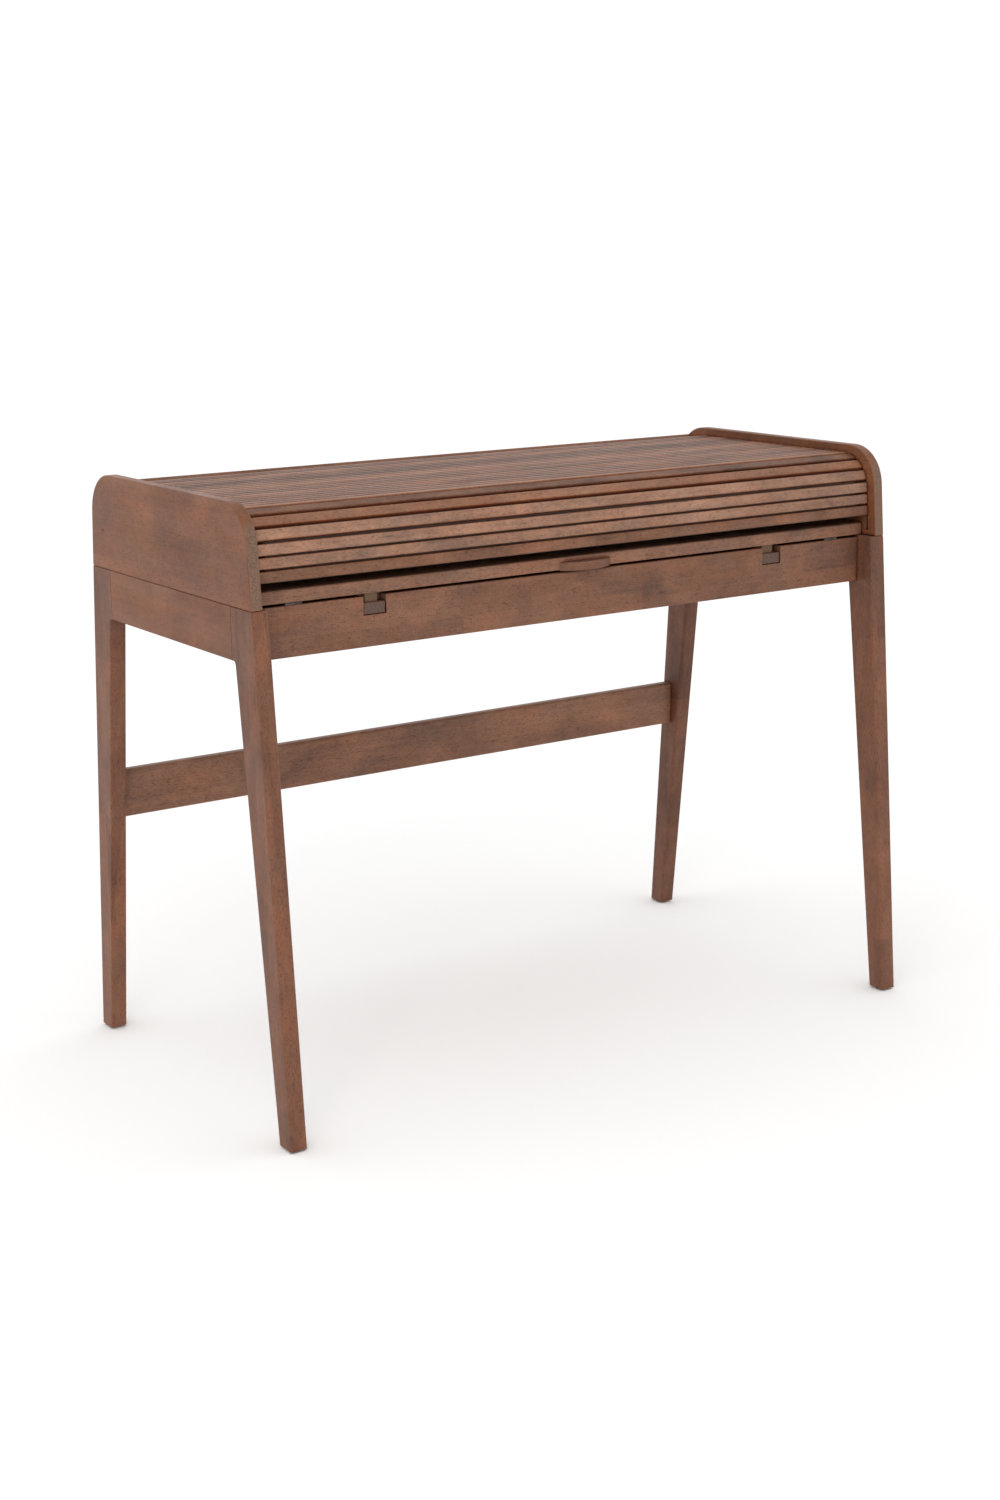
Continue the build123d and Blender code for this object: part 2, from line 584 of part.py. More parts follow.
# ---------------------------------------------------------------- tambour
def curtain_vertices():
    """Canvas-side joints of the closed curtain from the bottom front to the back end.

    Each entry is (y, z, angle), where angle is the slope of the slat that starts there.
    """
    angles = [90.0 - SLOPE] * FRONT_DROP_SLATS
    angles += [90.0 - SLOPE - TURN * step for step in range(1, CORNER_SLATS + 1)]
    angles += [0.0] * (TOP_SLATS + CORNER_SLATS + TAIL_SLATS)
    angles += [-TURN] * END_SLATS
    first_flat = FRONT_DROP_SLATS + CORNER_SLATS
    y, z = CURTAIN_FRONT_Y, CURTAIN_TOP_Z
    for angle in reversed(angles[:first_flat]):
        y -= SLAT_PITCH * math.cos(math.radians(angle))
        z -= SLAT_PITCH * math.sin(math.radians(angle))
    joints = []
    for angle in angles:
        joints.append((y, z, angle))
        y += SLAT_PITCH * math.cos(math.radians(angle))
        z += SLAT_PITCH * math.sin(math.radians(angle))
    return joints


def stand_on_track(section, joint, half_length):
    """Extrude a section drawn along (slat, outward) over the given half length in X."""
    y, z, angle = joint
    plane = Plane.YZ.offset(-half_length)
    placed = plane * (Pos(y, z) * (Rot(0, 0, angle) * section))
    return extrude(placed, amount=2 * half_length)


def box_section(low, high, inner, outer):
    return outline([(low, inner), (high, inner), (high, outer), (low, outer)])


def make_slat(joint, end_gap, with_tongues):
    low = SLAT_GAP / 2
    high = SLAT_PITCH - SLAT_GAP / 2
    face_low = SLAT_FACE_GAP / 2
    face_high = SLAT_PITCH - SLAT_FACE_GAP / 2
    section = outline([
        (low, CANVAS_THICK),
        (high, CANVAS_THICK),
        (face_high, SLAT_THICK),
        (face_low, SLAT_THICK),
    ])
    section = fillet(section.vertices().filter_by(lambda v: near(v.Y, SLAT_THICK)), radius=SLAT_ROUND)
    half_length = PANEL_INNER_X - end_gap
    slat = stand_on_track(section, joint, half_length)
    if with_tongues:
        middle = SLAT_THICK / 2
        tongue = box_section(face_low, face_high, middle - TONGUE_THICK / 2, middle + TONGUE_THICK / 2)
        slat += stand_on_track(tongue, joint, PANEL_INNER_X + TONGUE_LENGTH)
    return slat


def make_canvas(joint, slats):
    margin = CANVAS_END_GAP / 2
    strip = box_section(margin, slats * SLAT_PITCH - margin, 0.0, CANVAS_THICK)
    return stand_on_track(strip, joint, PANEL_INNER_X - CANVAS_SIDE_GAP)


def save_tambour():
    joints = curtain_vertices()
    first_top = FRONT_DROP_SLATS + CORNER_SLATS
    last_top = first_top + TOP_SLATS
    for index, joint in enumerate(joints):
        on_top = first_top <= index < last_top
        gap = TOP_END_GAP if on_top else CHAIN_END_GAP
        save(f"slat_{index + 1:02d}", make_slat(joint, gap, on_top))
    save("canvas_front", make_canvas(joints[0], FRONT_DROP_SLATS))
    save("canvas_top", make_canvas(joints[first_top], TOP_SLATS))
    save("canvas_back", make_canvas(joints[last_top + CORNER_SLATS], TAIL_SLATS))


# ---------------------------------------------------------------- write every part
os.makedirs("parts", exist_ok=True)

save("leg_front_left", make_leg(-1, -1))
save("leg_front_right", make_leg(1, -1))
save("leg_back_left", make_leg(-1, 1))
save("leg_back_right", make_leg(1, 1))
save("side_apron_right", make_side_apron())
save("side_apron_left", mirror(make_side_apron(), about=Plane.YZ))
save("front_rail", make_front_rail())
save("back_rail", make_back_rail())
save("stretcher", make_stretcher())
save("bottom_panel", bottom_panel_block())
save("foot_glides", make_foot_glides())
save("rail_dowels", both_sides(rail_dowels(["front", "back", "low"], DOWEL_RADIUS)))
save("panel_dowels", both_sides(panel_dowels(SMALL_DOWEL_RADIUS)))
save("side_panel_right", make_side_panel())
save("side_panel_left", mirror(make_side_panel(), about=Plane.YZ))
save("back_cap", make_back_cap())
save("back_panel", make_back_panel())
save("organizer_floor", make_organizer_floor())
save("organizer_back", make_organizer_back())
save("organizer_dividers", [make_organizer_divider(x) for x in (-DIVIDER_X, DIVIDER_X)])
save("runner_guide_right", make_runner_guide())
save("runner_guide_left", mirror(make_runner_guide(), about=Plane.YZ))
save("glide_plates", make_glide_plates())
save("writing_board", make_writing_board())
save("pull_handle", make_pull_handle())
save("handle_dowels", handle_dowels(SMALL_DOWEL_RADIUS))
save("runner_webs", mirrored_pair(make_runner_web()))
save("runner_foot_right", make_runner_foot())
save("runner_foot_left", mirror(make_runner_foot(), about=Plane.YZ))
save("stop_blocks", make_stop_blocks())
save_tambour()
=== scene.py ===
import math

import bmesh
import bpy
from mathutils import Matrix, Vector


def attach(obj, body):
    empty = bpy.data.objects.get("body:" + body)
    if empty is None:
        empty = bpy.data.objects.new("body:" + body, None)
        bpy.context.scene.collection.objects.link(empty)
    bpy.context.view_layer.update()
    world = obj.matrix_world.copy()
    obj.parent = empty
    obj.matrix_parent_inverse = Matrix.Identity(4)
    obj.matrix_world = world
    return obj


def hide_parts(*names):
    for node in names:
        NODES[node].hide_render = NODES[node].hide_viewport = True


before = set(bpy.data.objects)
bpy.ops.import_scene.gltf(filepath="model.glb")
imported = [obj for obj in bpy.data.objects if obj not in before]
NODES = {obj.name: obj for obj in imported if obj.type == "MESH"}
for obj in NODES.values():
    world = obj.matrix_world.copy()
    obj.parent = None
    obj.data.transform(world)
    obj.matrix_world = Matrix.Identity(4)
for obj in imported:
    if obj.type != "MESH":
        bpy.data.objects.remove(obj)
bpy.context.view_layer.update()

# ---------------------------------------------------------------- camera
CAMERA_PLACE = (-1.8325, -2.699, 1.2166)
CAMERA_YAW = 34.1        # degrees from +Y towards +X
CAMERA_PITCH = 13.8      # degrees below the horizon
CAMERA_ROLL = -0.6
CAMERA_LENS = 52.65      # millimetres
SENSOR_WIDTH = 36.0      # millimetres
CAMERA_REACH = 100.0


def make_camera():
    """Camera at the photograph's viewing angle."""
    yaw, pitch, roll = (math.radians(v) for v in (CAMERA_YAW, CAMERA_PITCH, CAMERA_ROLL))
    ahead = Vector((math.sin(yaw) * math.cos(pitch), math.cos(yaw) * math.cos(pitch), -math.sin(pitch)))
    right = Vector((math.cos(yaw), -math.sin(yaw), 0.0))
    up = right.cross(ahead)
    turned_right = math.cos(roll) * right + math.sin(roll) * up
    turned_up = -math.sin(roll) * right + math.cos(roll) * up
    data = bpy.data.cameras.new("camera")
    data.lens = CAMERA_LENS
    data.sensor_width = SENSOR_WIDTH
    data.clip_end = CAMERA_REACH
    camera = bpy.data.objects.new("camera", data)
    bpy.context.scene.collection.objects.link(camera)
    turn = Matrix((turned_right, turned_up, -ahead)).transposed()
    camera.matrix_world = Matrix.Translation(CAMERA_PLACE) @ turn.to_4x4()
    bpy.context.scene.camera = camera


# ---------------------------------------------------------------- light and background
WORLD_COLOUR = (1.0, 1.0, 1.0)
WORLD_STRENGTH = 1.1
KEY_PLACE = (-2.4, -2.6, 2.6)
KEY_TARGET = (0.0, 0.0, 0.6)
KEY_SIZE = (1.6, 1.6)
KEY_WATTS = 26.0
KEY_COLOUR = (1.0, 0.94, 0.87)       # slightly warm


def make_world(colour, strength):
    """Even light from all round, which is also the background."""
    world = bpy.data.worlds.new("studio")
    bpy.context.scene.world = world
    world.use_nodes = True
    background = world.node_tree.nodes["Background"]
    background.inputs["Color"].default_value = (*colour, 1.0)
    background.inputs["Strength"].default_value = strength


def make_softbox(name, place, target, size, watts, colour):
    """Rectangular lamp at place that faces target."""
    data = bpy.data.lights.new(name, "AREA")
    data.shape = "RECTANGLE"
    data.size, data.size_y = size
    data.energy = watts
    data.color = colour
    lamp = bpy.data.objects.new(name, data)
    bpy.context.scene.collection.objects.link(lamp)
    lamp.location = place
    lamp.rotation_euler = (Vector(target) - Vector(place)).to_track_quat("-Z", "Y").to_euler()


# ---------------------------------------------------------------- shader building blocks
class Shader:
    """Short names for the node calls that every material makes."""

    def __init__(self, name):
        self.material = bpy.data.materials.new(name)
        self.material.use_nodes = True
        self.tree = self.material.node_tree
        self.surface = self.tree.nodes["Principled BSDF"]

    def node(self, kind, **settings):
        made = self.tree.nodes.new(kind)
        for key, value in settings.items():
            setattr(made, key, value)
        return made

    def put(self, socket, value):
        if isinstance(value, bpy.types.NodeSocket):
            self.tree.links.new(value, socket)
        elif socket.type == "RGBA" and len(value) == 3:
            socket.default_value = (*value, 1.0)
        else:
            socket.default_value = value

    def math(self, operation, first, second=0.0, third=0.0, clamp=False):
        made = self.node("ShaderNodeMath", operation=operation, use_clamp=clamp)
        for socket, value in zip(made.inputs, (first, second, third)):
            self.put(socket, value)
        return made.outputs[0]

    def span(self, value, low, high, to_low=0.0, to_high=1.0):
        """Maps low..high to to_low..to_high and clamps."""
        made = self.node("ShaderNodeMapRange")
        for name, number in (("From Min", low), ("From Max", high), ("To Min", to_low), ("To Max", to_high)):
            made.inputs[name].default_value = number
        self.put(made.inputs["Value"], value)
        return made.outputs["Result"]

    def mix(self, factor, first, second, blend="MIX"):
        made = self.node("ShaderNodeMix", data_type="RGBA", blend_type=blend)
        self.put(made.inputs["Factor"], factor)
        self.put(made.inputs["A"], first)
        self.put(made.inputs["B"], second)
        return made.outputs["Result"]

    def vector(self, operation, first, second):
        made = self.node("ShaderNodeVectorMath", operation=operation)
        self.put(made.inputs[0], first)
        self.put(made.inputs[1], second)
        return made.outputs["Value"] if operation == "DOT_PRODUCT" else made.outputs["Vector"]

    def noise(self, place, scale, detail=3.0, roughness=0.5, distortion=0.0):
        """Noise whose scale along each axis is in waves per metre."""
        stretched = self.vector("MULTIPLY", place, scale)
        made = self.node("ShaderNodeTexNoise")
        self.put(made.inputs["Vector"], stretched)
        made.inputs["Scale"].default_value = 1.0
        made.inputs["Detail"].default_value = detail
        made.inputs["Roughness"].default_value = roughness
        made.inputs["Distortion"].default_value = distortion
        return made.outputs["Fac"]

    def bump(self, height, distance, strength=1.0, normal=None):
        made = self.node("ShaderNodeBump")
        made.inputs["Distance"].default_value = distance
        made.inputs["Strength"].default_value = strength
        self.put(made.inputs["Height"], height)
        if normal is not None:
            self.put(made.inputs["Normal"], normal)
        return made.outputs["Normal"]


GRAIN_ORDER = {"X": ("X", "Y", "Z"), "Y": ("Y", "X", "Z"), "Z": ("Z", "Y", "X")}
GRAIN_SHIFT = (17.0, 5.3, 9.1)       # metres, the most that a piece's pattern is moved


def grain_place(shader, grain):
    """Object coordinates with the grain first, moved by a different amount for each piece.

    Also gives them unmoved, and the piece's own random number.
    """
    coordinates = shader.node("ShaderNodeTexCoord")
    parts = shader.node("ShaderNodeSeparateXYZ")
    shader.put(parts.inputs[0], coordinates.outputs["Object"])
    joined = shader.node("ShaderNodeCombineXYZ")
    for socket, axis in zip(joined.inputs, GRAIN_ORDER[grain]):
        shader.put(socket, parts.outputs[axis])
    piece = shader.node("ShaderNodeObjectInfo").outputs["Random"]
    shift = shader.node("ShaderNodeCombineXYZ")
    for socket, amount in zip(shift.inputs, GRAIN_SHIFT):
        shader.put(socket, shader.math("MULTIPLY", piece, amount))
    return shader.vector("ADD", joined.outputs[0], shift.outputs[0]), joined.outputs[0], piece


def edge_mask(shader, radius):
    """1 near convex and concave edges, 0 on flat faces."""
    bevel = shader.node("ShaderNodeBevel", samples=4)
    bevel.inputs["Radius"].default_value = radius
    true_normal = shader.node("ShaderNodeNewGeometry").outputs["True Normal"]
    agreement = shader.vector("DOT_PRODUCT", bevel.outputs["Normal"], true_normal)
    return shader.span(agreement, 0.995, 0.9)


def openness(shader, reach):
    """1 on open faces, and down to 0 deep in a groove or seam."""
    hollow = shader.node("ShaderNodeAmbientOcclusion", samples=8)
    hollow.inputs["Distance"].default_value = reach
    return hollow.outputs["AO"]


def end_grain_mask(shader, grain):
    """1 where the surface cuts across the grain."""
    parts = shader.node("ShaderNodeSeparateXYZ")
    shader.put(parts.inputs[0], shader.node("ShaderNodeTexCoord").outputs["Normal"])
    along = shader.math("ABSOLUTE", parts.outputs[grain])
    return shader.span(along, 0.75, 0.9)


END_GRAIN_TINT = (0.78, 0.9, 0.98)
PANEL_END_SHEEN_TINT = (0.9, 1.3, 1.8)     # painted sheen: the panels' front and back edges tinted a paler grey in place of their reflection
# painted shade: the rims of grooves and seams made darker and redder, as the shade and bounce light there
RIM_SHADE_TINT = (1.06, 0.74, 0.56)
RUB_RADIUS = 0.0022
CREVICE_REACH = 0.006
# painted shade: colour deep in grooves and seams is darkened by how enclosed it is
CREVICE_SHADE_TINT = (0.36, 0.24, 0.2)
KNOT_TINT = (0.3, 0.22, 0.2)


def stained_wood(name, grain, light, dark, stave=None, tone_spread=0.1, cool_amount=0.5, rub_amount=0.4,
                 rim_shade_amount=0.3, gleam=0.2, end_tint_and_sheen=END_GRAIN_TINT, knot=None):
    """Walnut-stained fine-grained hardwood under satin lacquer.

    stave is the (length, width) of the glued strips, in metres; cool_amount is how grey its clouds
    get, rub_amount how far the stain is rubbed off its edges, rim_shade_amount how much painted shade
    (darker and redder) goes on the rims of grooves and seams, gleam the specular level and
    end_tint_and_sheen the end grain's tint, which on the panels also paints a pale grey sheen. knot is the
    (centre, size, darkness) of one knot, with the grain's axis first. Grooves and seams also get painted
    shade.
    """
    shader = Shader(name)
    place, still_place, piece = grain_place(shader, grain)

    cloud = shader.noise(place, (9.0, 15.0, 15.0), detail=5.0, roughness=0.62, distortion=0.5)
    mottle = shader.noise(place, (55.0, 75.0, 75.0), detail=4.0, roughness=0.65)
    streak = shader.noise(place, (6.0, 150.0, 150.0), detail=4.0, roughness=0.6, distortion=0.2)
    fibre = shader.noise(place, (60.0, 1100.0, 1100.0), detail=2.0)
    fleck = shader.noise(place, (90.0, 420.0, 420.0), detail=3.0, roughness=0.5)
    pore = shader.noise(place, (200.0, 1700.0, 1700.0), detail=1.0, roughness=0.4)

    tone = shader.math("MULTIPLY", shader.span(cloud, 0.33, 0.67), 0.46)
    tone = shader.math("MULTIPLY_ADD", shader.span(mottle, 0.3, 0.7), 0.2, tone)
    tone = shader.math("MULTIPLY_ADD", shader.span(streak, 0.3, 0.7), 0.22, tone)
    tone = shader.math("MULTIPLY_ADD", fibre, 0.12, tone)
    if stave:
        bricks = shader.node("ShaderNodeTexBrick", offset=0.37, offset_frequency=1, squash=1.0)
        bricks.inputs["Scale"].default_value = 1.0
        bricks.inputs["Mortar Size"].default_value = 0.0
        bricks.inputs["Brick Width"].default_value = stave[0]
        bricks.inputs["Row Height"].default_value = stave[1]
        bricks.inputs["Color1"].default_value = (0.0, 0.0, 0.0, 1.0)
        bricks.inputs["Color2"].default_value = (1.0, 1.0, 1.0, 1.0)
        joined = shader.node("ShaderNodeCombineXYZ")
        parts = shader.node("ShaderNodeSeparateXYZ")
        shader.put(parts.inputs[0], place)
        shader.put(joined.inputs["X"], parts.outputs["X"])
        shader.put(joined.inputs["Y"], shader.math("ADD", parts.outputs["Y"], parts.outputs["Z"]))
        shader.put(bricks.inputs["Vector"], joined.outputs[0])
        tone = shader.math("SUBTRACT", tone, 0.15)
        tone = shader.math("MULTIPLY_ADD", bricks.outputs["Color"], 0.3, tone)
    own_tone = shader.span(piece, 0.0, 1.0, -tone_spread, tone_spread)
    tone = shader.math("ADD", tone, own_tone, clamp=True)
    colour = shader.mix(tone, dark, light)

    warm = shader.noise(place, (13.0, 24.0, 24.0), detail=2.0)
    warmth = shader.span(warm, 0.35, 0.7, 0.0, 0.55)
    colour = shader.mix(warmth, colour, (1.14, 0.94, 0.78), "MULTIPLY")
    cool = shader.noise(place, (8.0, 30.0, 30.0), detail=3.0)
    greyness = shader.span(cool, 0.5, 0.75, 0.0, cool_amount)
    colour = shader.mix(greyness, colour, (0.8, 0.91, 1.0), "MULTIPLY")
    flecks = shader.span(fleck, 0.6, 0.7, 0.0, 0.6)
    colour = shader.mix(flecks, colour, (0.52, 0.47, 0.45), "MULTIPLY")
    pores = shader.span(pore, 0.57, 0.65, 0.0, 0.75)
    colour = shader.mix(pores, colour, (0.45, 0.4, 0.37), "MULTIPLY")

    # end grain gets its own tint; on the panels this tint also paints a pale grey sheen in place of a
    # reflection
    across = end_grain_mask(shader, grain)
    rings = shader.noise(place, (30.0, 420.0, 900.0), detail=3.0)
    end_dark = [channel * factor for channel, factor in zip(dark, end_tint_and_sheen)]
    end_light = [channel * factor for channel, factor in zip(light, end_tint_and_sheen)]
    end_colour_and_sheen = shader.mix(shader.span(rings, 0.3, 0.7), end_dark, end_light)
    colour = shader.mix(across, colour, end_colour_and_sheen)

    if knot:
        centre, size, depth = knot
        offset = shader.vector("SUBTRACT", still_place, centre)
        offset = shader.vector("MULTIPLY", offset, [1.0 / s for s in size])
        distance = shader.node("ShaderNodeVectorMath", operation="LENGTH")
        shader.put(distance.inputs[0], offset)
        knottiness = shader.span(distance.outputs["Value"], 1.1, 0.55, 0.0, depth)
        colour = shader.mix(knottiness, colour, KNOT_TINT, "MULTIPLY")

    edges = edge_mask(shader, RUB_RADIUS)
    rub = shader.noise(place, (24.0, 60.0, 60.0), detail=3.0)
    wear = shader.math("MULTIPLY", edges, shader.span(rub, 0.38, 0.68, 0.0, rub_amount))
    worn = shader.mix(1.0, colour, (1.45, 1.38, 1.32), "MULTIPLY")
    colour = shader.mix(wear, colour, worn)
    freedom = openness(shader, CREVICE_REACH)
    # painted shade: the rims of grooves and seams turn darker and redder
    colour = shader.mix(shader.span(freedom, 0.98, 0.8, 0.0, rim_shade_amount), colour, RIM_SHADE_TINT, "MULTIPLY")
    # painted shade: deep in grooves and seams the colour turns much darker
    colour = shader.mix(shader.span(freedom, 0.85, 0.45, 0.0, 0.9), colour, CREVICE_SHADE_TINT, "MULTIPLY")

    shader.put(shader.surface.inputs["Base Color"], colour)
    smear = shader.noise(place, (9.0, 26.0, 26.0), detail=3.0)
    gloss = shader.span(smear, 0.3, 0.7, 0.36, 0.48)
    gloss = shader.math("MULTIPLY_ADD", fibre, 0.06, gloss)
    gloss = shader.math("MULTIPLY_ADD", across, 0.15, gloss)
    shader.put(shader.surface.inputs["Roughness"], gloss)
    shader.surface.inputs["Specular IOR Level"].default_value = gleam
    shader.surface.inputs["Coat Weight"].default_value = 0.03
    shader.surface.inputs["Coat Roughness"].default_value = 0.3
    relief = shader.math("MULTIPLY_ADD", streak, 0.5, shader.math("MULTIPLY", fibre, 0.35))
    relief = shader.math("SUBTRACT", relief, shader.math("MULTIPLY", pores, 0.9))
    shader.put(shader.surface.inputs["Normal"], shader.bump(relief, 0.00012, 0.8))
    return shader.material


def raw_wood(name, grain, light, dark):
    """Planed pale hardwood without a finish."""
    shader = Shader(name)
    place, _, _ = grain_place(shader, grain)
    streak = shader.noise(place, (6.0, 210.0, 210.0), detail=4.0, roughness=0.6, distortion=0.2)
    cloud = shader.noise(place, (12.0, 30.0, 30.0), detail=2.0)
    pore = shader.noise(place, (140.0, 2000.0, 2000.0), detail=1.0)
    tone = shader.math("MULTIPLY", cloud, 0.4)
    tone = shader.math("MULTIPLY_ADD", shader.span(streak, 0.3, 0.7), 0.6, tone)
    colour = shader.mix(tone, dark, light)
    pores = shader.span(pore, 0.62, 0.7, 0.0, 0.5)
    colour = shader.mix(pores, colour, (0.6, 0.5, 0.42), "MULTIPLY")
    across = end_grain_mask(shader, grain)
    colour = shader.mix(across, colour, [c * 0.7 for c in dark])
    shader.put(shader.surface.inputs["Base Color"], colour)
    shader.put(shader.surface.inputs["Roughness"], shader.span(cloud, 0.3, 0.7, 0.6, 0.75))
    shader.put(shader.surface.inputs["Normal"], shader.bump(streak, 0.0002, 0.7))
    return shader.material


def plywood(name, grain, light, dark):
    """Stained veneer with long streaks."""
    shader = Shader(name)
    place, _, _ = grain_place(shader, grain)
    streak = shader.noise(place, (3.0, 90.0, 90.0), detail=5.0, roughness=0.6, distortion=0.5)
    cloud = shader.noise(place, (6.0, 12.0, 12.0), detail=2.0)
    pore = shader.noise(place, (120.0, 1700.0, 1700.0), detail=1.0)
    tone = shader.math("MULTIPLY", cloud, 0.3)
    tone = shader.math("MULTIPLY_ADD", shader.span(streak, 0.3, 0.7), 0.65, tone)
    colour = shader.mix(tone, dark, light)
    pores = shader.span(pore, 0.6, 0.7, 0.0, 0.6)
    colour = shader.mix(pores, colour, (0.5, 0.45, 0.4), "MULTIPLY")
    shader.put(shader.surface.inputs["Base Color"], colour)
    shader.put(shader.surface.inputs["Roughness"], shader.span(cloud, 0.3, 0.7, 0.5, 0.62))
    shader.put(shader.surface.inputs["Normal"], shader.bump(streak, 0.00015, 0.7))
    return shader.material


def canvas(name, light, dark, thread):
    """Plain woven cotton duck; thread is the distance between threads, in metres."""
    shader = Shader(name)
    place = shader.node("ShaderNodeTexCoord").outputs["Object"]
    parts = shader.node("ShaderNodeSeparateXYZ")
    shader.put(parts.inputs[0], place)
    turn = 2 * math.pi / thread
    down = shader.math("ADD", parts.outputs["Y"], parts.outputs["Z"])
    warp = shader.math("SINE", shader.math("MULTIPLY", parts.outputs["X"], turn))
    weft = shader.math("SINE", shader.math("MULTIPLY", down, turn))
    weave = shader.math("MULTIPLY", warp, weft)
    height = shader.span(weave, -1.0, 1.0)
    slub = shader.noise(place, (150.0, 700.0, 700.0), detail=3.0)
    tone = shader.math("MULTIPLY_ADD", height, 0.55, shader.math("MULTIPLY", slub, 0.45))
    shader.put(shader.surface.inputs["Base Color"], shader.mix(tone, dark, light))
    shader.surface.inputs["Roughness"].default_value = 0.92
    shader.surface.inputs["Sheen Weight"].default_value = 0.3
    shader.put(shader.surface.inputs["Normal"], shader.bump(tone, 0.0003, 0.9))
    return shader.material


def zinc_plate(name):
    """Dull brushed metal with brighter edges."""
    shader = Shader(name)
    place = shader.node("ShaderNodeTexCoord").outputs["Object"]
    brushed = shader.noise(place, (90.0, 1800.0, 1800.0), detail=3.0)
    bloom = shader.noise(place, (160.0, 160.0, 160.0), detail=3.0)
    colour = shader.mix(shader.span(bloom, 0.3, 0.7), (0.05, 0.047, 0.044), (0.13, 0.123, 0.115))
    edges = edge_mask(shader, 0.0006)
    colour = shader.mix(shader.math("MULTIPLY", edges, 0.4), colour, (0.2, 0.19, 0.18))
    shader.put(shader.surface.inputs["Base Color"], colour)
    shader.surface.inputs["Metallic"].default_value = 1.0
    shader.put(shader.surface.inputs["Roughness"], shader.span(brushed, 0.3, 0.7, 0.4, 0.58))
    shader.put(shader.surface.inputs["Normal"], shader.bump(brushed, 0.00004, 0.6))
    return shader.material


def moulded_nylon(name):
    """Dark plastic with a fine grain and scuffs."""
    shader = Shader(name)
    place = shader.node("ShaderNodeTexCoord").outputs["Object"]
    speckle = shader.noise(place, (1500.0, 1500.0, 1500.0), detail=2.0)
    scuff = shader.noise(place, (260.0, 260.0, 260.0), detail=4.0)
    colour = shader.mix(shader.span(scuff, 0.35, 0.7), (0.045, 0.038, 0.034), (0.085, 0.075, 0.066))
    shader.put(shader.surface.inputs["Base Color"], colour)
    shader.put(shader.surface.inputs["Roughness"], shader.span(scuff, 0.3, 0.7, 0.42, 0.62))
    shader.put(shader.surface.inputs["Normal"], shader.bump(speckle, 0.00005, 0.6))
    return shader.material


def pale_floor(name):
    """Nearly white matt floor."""
    shader = Shader(name)
    place = shader.node("ShaderNodeTexCoord").outputs["Object"]
    drift = shader.noise(place, (0.8, 0.8, 0.8), detail=2.0)
    colour = shader.mix(drift, (0.94, 0.94, 0.94), (0.96, 0.96, 0.96))
    shader.put(shader.surface.inputs["Base Color"], colour)
    shader.surface.inputs["Roughness"].default_value = 0.9
    shader.surface.inputs["Specular IOR Level"].default_value = 0.1
    return shader.material


# ---------------------------------------------------------------- pieces
def paint(names, material):
    """Gives the named CAD pieces one material."""
    for name in names:
        slots = NODES[name].data.materials
        slots.clear()
        slots.append(material)


FLOOR_HALF = 30.0


def make_floor():
    """Wide flat floor under the desk."""
    mesh = bpy.data.meshes.new("floor")
    shape = bmesh.new()
    bmesh.ops.create_grid(shape, x_segments=1, y_segments=1, size=FLOOR_HALF)
    shape.to_mesh(mesh)
    shape.free()
    floor = bpy.data.objects.new("floor", mesh)
    bpy.context.scene.collection.objects.link(floor)
    mesh.materials.append(pale_floor("pale_floor"))


# ---------------------------------------------------------------- canvas behind the slats
CASE_DEPTH = 0.4868
FOOT_SPAN = 0.6
JOINT_Z = 0.724
SLAT_PITCH = 0.0175
CURTAIN_FRONT = (-0.177, 0.84)       # Y and Z where the flat run on top begins
SLOPE = math.atan((FOOT_SPAN - CASE_DEPTH) / 2 / JOINT_Z)
TURN = (math.pi / 2 - SLOPE) / 4
CANVAS_HALF_WIDTH = 0.513
CANVAS_THICK = 0.0006
HEM_THICK = 0.0008
HEM_WIDTH = 0.012
HEM_STEP = 0.001          # the hem's edge, where the cloth gets thinner
CANVAS_RISE = 0.0008      # the outer face's distance from the canvas line
CANVAS_COLUMNS = 40
ROWS_PER_SLAT = 8
END_GAP = 0.0003          # left free between two strips
SLACK = 0.00008
ROUNDING = 1e-6

# body, first slat, last slat, the CAD strip that the woven one takes the place of
CANVAS_STRIPS = (
    ("curtain_drop", 1, 3, "canvas_front"),
    ("curtain_front_3", 4, 4, None),
    ("curtain_front_2", 5, 5, None),
    ("curtain_front_1", 6, 6, None),
    ("curtain_top", 7, 18, "canvas_top"),
    ("curtain_back_1", 19, 19, None),
    ("curtain_back_2", 20, 20, None),
    ("curtain_back_3", 21, 21, None),
    ("curtain_tail", 22, 26, "canvas_back"),
    ("curtain_end", 27, 27, None),
)


def slat_joints():
    """(Y, Z, angle) of the canvas line where each slat begins, from the bottom front to the back."""
    front = [4 * TURN] * 3 + [3 * TURN, 2 * TURN, TURN]
    angles = front + [0.0] * 20 + [-TURN]
    y, z = CURTAIN_FRONT
    for angle in front:
        y -= SLAT_PITCH * math.cos(angle)
        z -= SLAT_PITCH * math.sin(angle)
    joints = []
    for angle in angles:
        joints.append((y, z, angle))
        y += SLAT_PITCH * math.cos(angle)
        z += SLAT_PITCH * math.sin(angle)
    return joints


